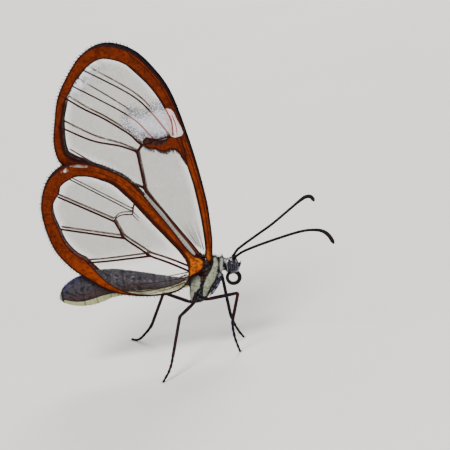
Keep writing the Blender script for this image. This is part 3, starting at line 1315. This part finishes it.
class BUTTERFLY_OT_feelers(bpy.types.Operator):
    """Make the ringed, clubbed feelers"""

    bl_idname = "butterfly.feelers"
    bl_label = "Feelers"

    def execute(self, context):
        shaft = sizes().feeler / MM
        material = cuticle_material("feeler")
        for name, corners in (("right", FEELER_RIGHT), ("left", FEELER_LEFT)):
            route = spline(corners, 0.10)
            left = 1 - np.linspace(0, 1, len(route))
            club = below(left, 0.26, 0.18) - 1.5 * below(left, 0.022, 0.022)
            radii = shaft * (1 + 0.50 * club + 0.35 * above(left, 0.975, 0.02))
            radii *= 1 + 0.05 * np.sin(np.arange(len(route)) * math.tau / 3)
            name = "antenna_" + name
            link(name + "_ringed", tube_mesh(name, route, radii), [material], "antenna", name)
        return {"FINISHED"}


class BUTTERFLY_OT_mouthparts(bpy.types.Operator):
    """Make the coiled tongue and the two palps"""

    bl_idname = "butterfly.mouthparts"
    bl_label = "Mouthparts"

    def execute(self, context):
        turn = np.linspace(*np.radians(COIL_ENDS), COIL_RINGS)
        reach = COIL_RADIUS - np.linspace(0.0, 0.06, COIL_RINGS)
        route = np.column_stack([COIL_MIDDLE[0] + reach * np.cos(turn),
                                 np.linspace(-0.02, 0.10, COIL_RINGS),
                                 COIL_MIDDLE[1] + reach * np.sin(turn)])
        route = np.vstack([TONGUE_ROOT, route])
        radii = np.linspace(1.10, 0.72, len(route)) * sizes().tongue / MM
        link("proboscis_coil", tube_mesh("proboscis", route, radii),
             [cuticle_material("mouthparts")], "mouthparts", "proboscis")
        scaled = palp_material()
        for name, side in SIDES:
            route = spline(on_side(PALP, side), 0.06)
            along = np.linspace(0, 1, len(route))
            radii = 0.085 + 0.05 * np.sin(along * math.pi) - 0.065 * above(along, 0.6, 0.4)
            name = "palp_" + name
            link(name + "_scaled", tube_mesh(name, route, radii), [scaled], "mouthparts", name)
        return {"FINISHED"}


def leg_route(corners):
    """Limbs joined by tight bends, then a jointed foot."""
    corners = np.array(corners)
    route = [corners[0]]
    for order, (before, corner, after) in enumerate(zip(corners, corners[1:], corners[2:])):
        reach = 0.30 if order < 2 else 0.75
        start = corner + (before - corner) / np.linalg.norm(before - corner) * reach
        end = corner + (after - corner) / np.linalg.norm(after - corner) * reach
        for t in np.linspace(0, 1, 5):
            route.append((1 - t) ** 2 * start + 2 * t * (1 - t) * corner + t * t * end)
    route.append(corners[-1] + (0, 0, SOLE_HEIGHT))
    fine = []
    for first, second in zip(route, route[1:]):
        count = max(1, round(np.linalg.norm(second - first) / 0.12))
        fine += [first + (second - first) * k / count for k in range(count)]
    return np.array(fine + route[-1:])


def leg_radii(route, lengths, corners):
    """Half thickness along a leg, and how far along it knee, ankle and foot lie."""
    bends = [np.linalg.norm(route - corner, axis=1).argmin() for corner in corners]
    root, hip, knee, ankle, _, foot = lengths[bends]
    profile = ((root, 1.35), (hip - 0.1, 1.15), (hip + 0.2, 0.85), (hip + 0.7, 1.05),
               (0.5 * (hip + knee), 1.05), (knee - 0.2, 0.92), (knee, 1.02), (knee + 0.3, 0.94),
               (ankle - 0.4, 0.92), (ankle, 0.95), (ankle + 0.2, 0.80), (foot, 0.64))
    radii = sizes().leg / MM * np.interp(lengths, *zip(*profile))
    share = (lengths - ankle) / (foot - ankle)
    joints = np.where(share > 0, 0.12 * np.cos(share * FOOT_PIECES * math.tau), 0.0)
    return radii * (1 + joints), knee, foot


def leg_spines(route, lengths, knee, foot, radii, seed):
    """Short bristles along the shin and foot, and two claws at the tip."""
    draw = random.Random(seed)
    pieces = []
    reached = knee + 0.4
    while reached < foot - 0.1:
        k = int(np.searchsorted(lengths, reached))
        along = Vector(route[min(k + 1, len(route) - 1)] - route[k - 1]).normalized()
        turn = Matrix.Rotation(draw.uniform(0, math.tau), 3, along)
        out = turn @ along.orthogonal().normalized()
        root = Vector(route[k]) + out * radii[k] * 0.7
        tip = root + (out * 0.55 + along) * draw.uniform(0.13, 0.22)
        tip.z = max(tip.z, CLAW_HEIGHT)
        pieces.append(((root, tip), (0.028, 0.008)))
        reached += draw.uniform(0.10, 0.18)
    tip = Vector(route[-1])
    ahead = Vector((*(route[-1] - route[-4])[:2], 0.0)).normalized()
    for side in (-1, 1):
        out = ahead.cross(Vector((0, 0, 1))) * side * 0.10
        claw = [tip, tip + ahead * 0.12 + out + Vector((0, 0, 0.03)), tip + ahead * 0.20 + out * 1.4]
        claw[-1].z = CLAW_HEIGHT
        pieces.append((claw, (0.04, 0.03, 0.012)))
    return [tube_mesh("spine", np.array(piece), widths, 5) for piece, widths in pieces]


class BUTTERFLY_OT_legs(bpy.types.Operator):
    """Make the jointed walking legs and the small folded forelegs"""

    bl_idname = "butterfly.legs"
    bl_label = "Legs"

    def execute(self, context):
        material = cuticle_material("leg")
        for order, (name, corners) in enumerate(LEGS.items()):
            route = leg_route(corners)
            lengths = lengths_along(route)
            radii, knee, foot = leg_radii(route, lengths, corners)
            meshes = [tube_mesh(name, route, radii)]
            meshes += leg_spines(route, lengths, knee, foot, radii, sizes().seed + order)
            link(name + "_jointed", merged(name, meshes), [material], "leg", name)
        fold = cuticle_material("foreleg")
        for name, side in SIDES:
            upper = spline(on_side(FORELEG, side), 0.12)
            lower = upper[2:-3][::-1] + (0.05, 0.085 * side, -0.03)
            meshes = []
            for slot, route in enumerate((upper, lower)):
                along = np.linspace(0, 1, len(route))
                radii = 0.115 + 0.025 * np.sin(along * math.pi) - 0.06 * above(along, 0.7, 0.3)
                mesh = tube_mesh("foreleg", route, radii, 10)
                mesh.polygons.foreach_set("material_index", [slot] * len(mesh.polygons))
                meshes.append(mesh)
            name = "foreleg_" + name
            link(name + "_folded", merged(name, meshes), [material, fold], "leg", name)
        return {"FINISHED"}


# Hair and scales.

class Coat:
    """Collects thin tapered tufts and turns them into one mesh."""

    def __init__(self):
        self.points, self.faces, self.maps = [], [], []

    def tuft(self, root, normal, lie, length, width, map_place, lift, curl):
        """One flat-sided spike from the root, leaning along the lie."""
        lie = lie - normal * lie.dot(normal)
        lie = lie.normalized() if lie.length > 1e-6 else normal.orthogonal().normalized()
        ahead = (lie * (1 - lift) + normal * lift).normalized()
        across = normal.cross(lie).normalized()
        under = (normal - ahead * normal.dot(ahead)).normalized()
        first = len(self.points)
        for centre, half in ((root - normal * width * 0.5, width * 0.5),
                             (root + ahead * length * 0.5 + normal * length * 0.10, width * 0.36)):
            self.points += [centre + across * half, centre - across * half,
                            centre + under * half * 0.9]
        self.points.append(root + ahead * length + normal * length * (curl - 0.05))
        for face in TUFT_FACES:
            self.faces.append(tuple(first + k for k in face))
        for u, v in TUFT_MAP:
            self.maps.append((map_place[0] + TUFT_PATCH * (u - 0.5),
                              map_place[1] + TUFT_PATCH * (v - 0.5)))

    def finish(self, name, paint_of, slot):
        """The tufts as a piece with its paint and its bake map."""
        points = np.array([tuple(point) for point in self.points])
        mesh = bpy.data.meshes.new(name)
        mesh.from_pydata(place(points).tolist(), [], self.faces)
        mesh.shade_smooth()
        set_attribute(mesh, "paint", paint_of(points))
        layer = mesh.uv_layers.new(name="OFBake")
        corners = np.empty(len(mesh.loops), np.int32)
        mesh.loops.foreach_get("vertex_index", corners)
        maps = np.clip(np.array(self.maps), 0.002, 0.998)[corners]
        layer.data.foreach_set("uv", maps.astype(np.float32).ravel())
        link(name, mesh, [hair_material(name)], slot)


def body_map(point):
    """Where a place on the body lies on the unrolled skin: along the body and round it."""
    along = (point.x - BODY_BACK) / BODY_LENGTH
    axis_z = np.interp(point.x, *np.transpose(BODY_AXIS))
    return along, math.atan2(point.y, point.z - axis_z) / math.tau + 0.5


def hair_lie(point):
    """Hair runs back along the body, and down on the flanks of the thorax."""
    if point.x > 3.6:
        return Vector((-0.5, 0.0, 0.5))
    if -0.6 < point.x < 0.7 and point.z > 8.9:
        return Vector((-1.0, 0.0, 0.25))
    if point.x > -0.6:
        return Vector((-0.55, 0.0, -0.75))
    return Vector((-1.0, 0.0, -0.12))


def thorax_share(places, normals):
    x = places[:, 0]
    on_thorax = above(x, -0.7, 0.2) * below(x, 3.7, 0.1)
    return on_thorax * (0.55 + 1.5 * above(normals[:, 2], 0.1, 0.5))


def thorax_length(point, up):
    """Longest on the back of the thorax and at its rear."""
    back = above(up.z, 0.25, 0.5) * above(point.z, 10.2, 0.6)
    rear = above(point.z, 8.8, 0.3) * below(point.x, 0.6, 0.3)
    return SHORT_HAIR + (sizes().hair / MM - SHORT_HAIR) * float(max(back, rear))


def head_share(places, normals):
    x, y, z = places.T
    eye = np.sqrt(((x - EYE[0][0]) / 0.60) ** 2 + ((np.abs(y) - EYE[0][1]) / 0.5) ** 2
                  + ((z - EYE[0][2]) / 0.80) ** 2)
    return above(x, 3.62, 0.1) * (eye > 1.0)


def abdomen_share(places, normals):
    return below(places[:, 0], -0.5, 0.3)


# Name, count, share of each place, length at a place, width and lift of the tufts.
COATS = (
    ("thorax_hair", 5200, thorax_share, thorax_length, 0.045, 0.30),
    ("head_hair", 1500, head_share, lambda point, up: SHORT_HAIR, 0.035, 0.45),
    ("abdomen_scales", 9000, abdomen_share, lambda point, up: SCALE, 0.06, 0.07),
)


def body_coat(name, count, share_of, length_of, width, lift, seed):
    """Tufts strewn over the part of the skin that a share function names."""
    skin = bpy.data.objects["body_skin"].data
    places, normals = drawn(skin), read_points(skin, "normal")
    share = share_of(places, normals) + 1e-9
    draw = np.random.default_rng(seed)
    picked = draw.choice(len(places), count, replace=False, p=share / share.sum())
    spots = places[picked] + draw.normal(0, 0.02, (count, 3))
    coat = Coat()
    for spot, normal in zip(spots, normals[picked]):
        point, up = Vector(spot), Vector(normal)
        lie = hair_lie(point) + Vector(draw.normal(0, 0.22, 3))
        length = length_of(point, up) * draw.uniform(0.65, 1.15)
        coat.tuft(point, up, lie, length, width * draw.uniform(0.7, 1.2), body_map(point),
                  lift * draw.uniform(0.6, 1.4), draw.uniform(-0.1, 0.1))
    coat.finish(name, body_paint, "thorax")


def wing_fringe(name, kind, side, sweep, draw):
    """Fringe scales and stray hairs round a wing, and hairs below a forewing's bar."""
    coat = Coat()
    face = Vector((0.0, float(side), 0.0))

    def add(spot, out, length, width, lift=0.02):
        x, z = spot
        root = Vector((x, side * kind["surface"](x, z), z)) - out * 0.05
        on_map = (np.array(spot) - WING_CORNER) / WING_REACH
        coat.tuft(root, face, out, length, width, on_map, lift, 0.0)

    rim = smooth_loop(kind["outline"], sweep, 0.085)
    for k, (spot, step) in enumerate(zip(rim, np.roll(rim, -1, axis=0) - rim)):
        costal = spot[0] > -2.5 and "bar" in kind
        out = Vector((step[1], 0.0, -step[0])).normalized()
        slope = Vector((step[0], 0.0, step[1])).normalized()
        lie = out + slope * draw.normal(0, 0.25) + face * draw.normal(0, 0.1)
        add(spot + draw.normal(0, 0.02, 2), lie.normalized(),
            (COSTAL_FRINGE if costal else FRINGE) * draw.uniform(0.7, 1.3), 0.04)
        if not costal and k % 5 == 0:
            stray = (out + slope * draw.normal(0.4, 0.2)).normalized()
            add(spot, stray, draw.uniform(0.30, 0.50), 0.085)
    if "bar" in kind:
        axis = swept(BAR_AXIS, sweep).T
        for spot in smooth_loop(kind["bar"], sweep, 0.09):
            if spot[1] < np.interp(spot[0], *axis) - 0.1:
                lie = Vector((draw.normal(0.15, 0.25), 0.0, -1.0)).normalized()
                add(spot, lie, draw.uniform(0.18, 0.62), 0.09, 0.04)
        for k in range(4):
            lie = Vector((-0.10 - 0.11 * k + draw.normal(0, 0.02), 0.0, 1.0)).normalized()
            add((1.58 - 0.26 * k, 12.5 + 0.24 * k), lie, draw.uniform(3.0, 4.6), 0.068, 0.01)
    dark = tone("inner_border")
    coat.finish(name + "_fringe", lambda points: np.tile(dark, (len(points), 1)), "wing")


class BUTTERFLY_OT_coat(bpy.types.Operator):
    """Grow hair on thorax and head, scales on the abdomen and fringes on the wings"""

    bl_idname = "butterfly.coat"
    bl_label = "Hair and scales"

    def execute(self, context):
        seed = sizes().seed
        for order, setting in enumerate(COATS):
            body_coat(*setting, seed + order)
        draw = np.random.default_rng(seed + len(COATS))
        for wing in WINGS:
            wing_fringe(*wing, draw)
        return {"FINISHED"}


# Studio.

class BUTTERFLY_OT_stage(bpy.types.Operator):
    """Set up the pale floor, the soft lights and the camera"""

    bl_idname = "butterfly.stage"
    bl_label = "Stage"

    def execute(self, context):
        self.floor(context.scene)
        self.lights(context.scene)
        self.camera(context.scene)
        return {"FINISHED"}

    def floor(self, scene):
        mesh = bpy.data.meshes.new("studio_floor")
        work = bmesh.new()
        bmesh.ops.create_circle(work, cap_ends=True, segments=96, radius=FLOOR_RADIUS)
        work.to_mesh(mesh)
        work.free()
        shade = Shader("studio_floor")
        even = shade.noise(0.05, 2.0).ramp(0.3, 0.7)
        soft = shade.mix(even, tone("floor"), 1.02 * tone("floor"))
        mesh.materials.append(shade.finish(soft, 0.85, 0.5))
        floor = bpy.data.objects.new("studio_floor", mesh)
        scene.collection.objects.link(floor)

    def lights(self, scene):
        world = bpy.data.worlds.new("studio")
        world.use_nodes = True
        sky = world.node_tree.nodes["Background"].inputs
        sky["Color"].default_value = SKY
        sky["Strength"].default_value = SKY_STRENGTH
        scene.world = world
        middle = Vector(place((0.0, 0.0, 18.0))[0])
        for name, spot, size, power, tint in LIGHTS:
            data = bpy.data.lights.new(name, "AREA")
            data.shape = "DISK"
            data.size = size
            data.energy = power
            data.color = tint
            light = bpy.data.objects.new(name, data)
            light.location = spot
            light.rotation_mode = "QUATERNION"
            light.rotation_quaternion = (middle - Vector(spot)).to_track_quat("-Z", "Y")
            scene.collection.objects.link(light)

    def camera(self, scene):
        data = bpy.data.cameras.new("camera")
        data.sensor_width = SENSOR_WIDTH
        data.lens = SENSOR_WIDTH * VIEW_DISTANCE / VIEW_WIDTH
        data.clip_start = 0.01
        data.clip_end = 10.0
        right = Vector((math.cos(VIEW_AZIMUTH), math.sin(VIEW_AZIMUTH), 0.0))
        back = Vector((right.y * math.cos(VIEW_ELEVATION), -right.x * math.cos(VIEW_ELEVATION),
                       math.sin(VIEW_ELEVATION)))
        up = back.cross(right)
        turned_right = right * math.cos(VIEW_ROLL) - up * math.sin(VIEW_ROLL)
        turned_up = right * math.sin(VIEW_ROLL) + up * math.cos(VIEW_ROLL)
        middle = Vector(place(VIEW_TARGET)[0]) + back * VIEW_DISTANCE * MM
        camera = bpy.data.objects.new("camera", data)
        turn = Matrix((turned_right, turned_up, back)).transposed().to_4x4()
        camera.matrix_world = Matrix.Translation(middle) @ turn
        scene.collection.objects.link(camera)
        scene.camera = camera


class BUTTERFLY_PT_panel(bpy.types.Panel):
    """Sizes, colours and the steps in order"""

    bl_idname = "BUTTERFLY_PT_panel"
    bl_label = "Glasswing butterfly"
    bl_space_type = "VIEW_3D"
    bl_region_type = "UI"
    bl_category = "Butterfly"

    def draw(self, context):
        for group in (context.scene.butterfly_sizes, context.scene.butterfly_colours):
            box = self.layout.box()
            for key in group.__annotations__:
                box.prop(group, key)
        for step in STEPS:
            self.layout.operator(step.bl_idname)


STEPS = (BUTTERFLY_OT_wings, BUTTERFLY_OT_body, BUTTERFLY_OT_eyes, BUTTERFLY_OT_feelers,
         BUTTERFLY_OT_mouthparts, BUTTERFLY_OT_legs, BUTTERFLY_OT_coat, BUTTERFLY_OT_stage)
CLASSES = (ButterflySizes, ButterflyColours, *STEPS, BUTTERFLY_PT_panel)


def register():
    for item in CLASSES:
        bpy.utils.register_class(item)
    bpy.types.Scene.butterfly_sizes = PointerProperty(type=ButterflySizes)
    bpy.types.Scene.butterfly_colours = PointerProperty(type=ButterflyColours)


def unregister():
    del bpy.types.Scene.butterfly_colours
    del bpy.types.Scene.butterfly_sizes
    for item in reversed(CLASSES):
        bpy.utils.unregister_class(item)


def main():
    register()
    for step in STEPS:
        group, name = step.bl_idname.split(".")
        getattr(getattr(bpy.ops, group), name)()


if __name__ == "__main__":
    main()
